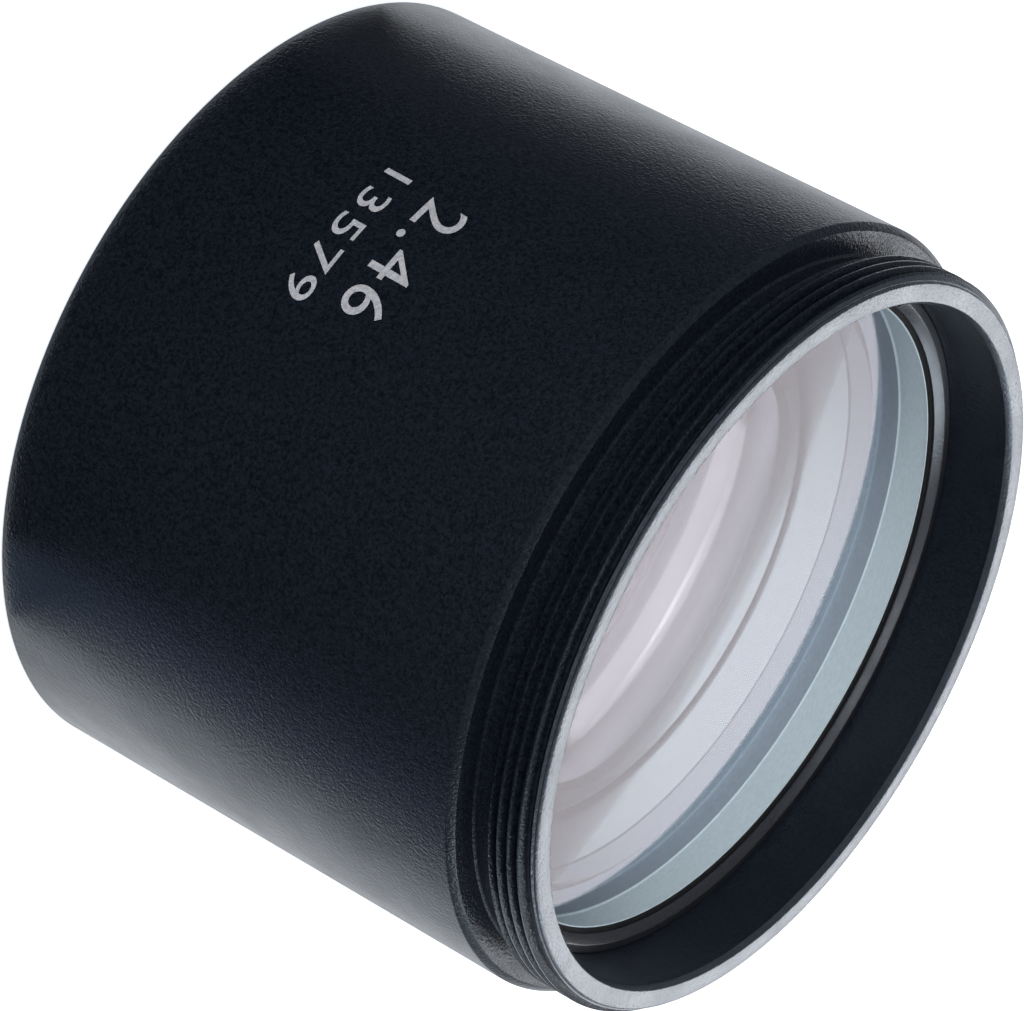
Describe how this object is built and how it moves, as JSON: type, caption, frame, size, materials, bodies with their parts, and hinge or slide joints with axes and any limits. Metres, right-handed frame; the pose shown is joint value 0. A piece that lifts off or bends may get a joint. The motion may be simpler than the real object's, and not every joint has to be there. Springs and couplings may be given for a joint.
{
  "type": "microscope objective",
  "caption": "Screw-on reducing objective for a stereo microscope: black barrel, threaded neck, two cemented lens pairs held by rings.",
  "frame": {"origin": "centre of the flat lower end face, on which the part stands", "axes": "+Z along the optical axis, from the specimen's end up to the threaded neck; the lettering side of the barrel faces -Y"},
  "size_m": [0.05, 0.05, 0.0397],
  "materials": {
    "black_anodised": "bead-blasted black anodise, satin",
    "black_ring": "turned and black anodised",
    "black_film": "matt black film",
    "bare_aluminium": "bare turned aluminium, satin",
    "crown_glass": "polished and coated faces, ground rim",
    "flint_glass": "polished and coated faces, ground rim"
  },
  "bodies": {
    "root": {"barrel": "black_anodised", "upper_retaining_ring": "black_ring", "upper_cushion_washer": "black_film", "upper_biconcave_lens": "crown_glass", "upper_meniscus_lens": "flint_glass", "spacer_tube": "bare_aluminium", "lower_biconvex_lens": "crown_glass", "lower_concave_lens": "flint_glass", "lower_cushion_washer": "black_film", "lower_retaining_ring": "black_ring"}
  },
  "joints": []
}
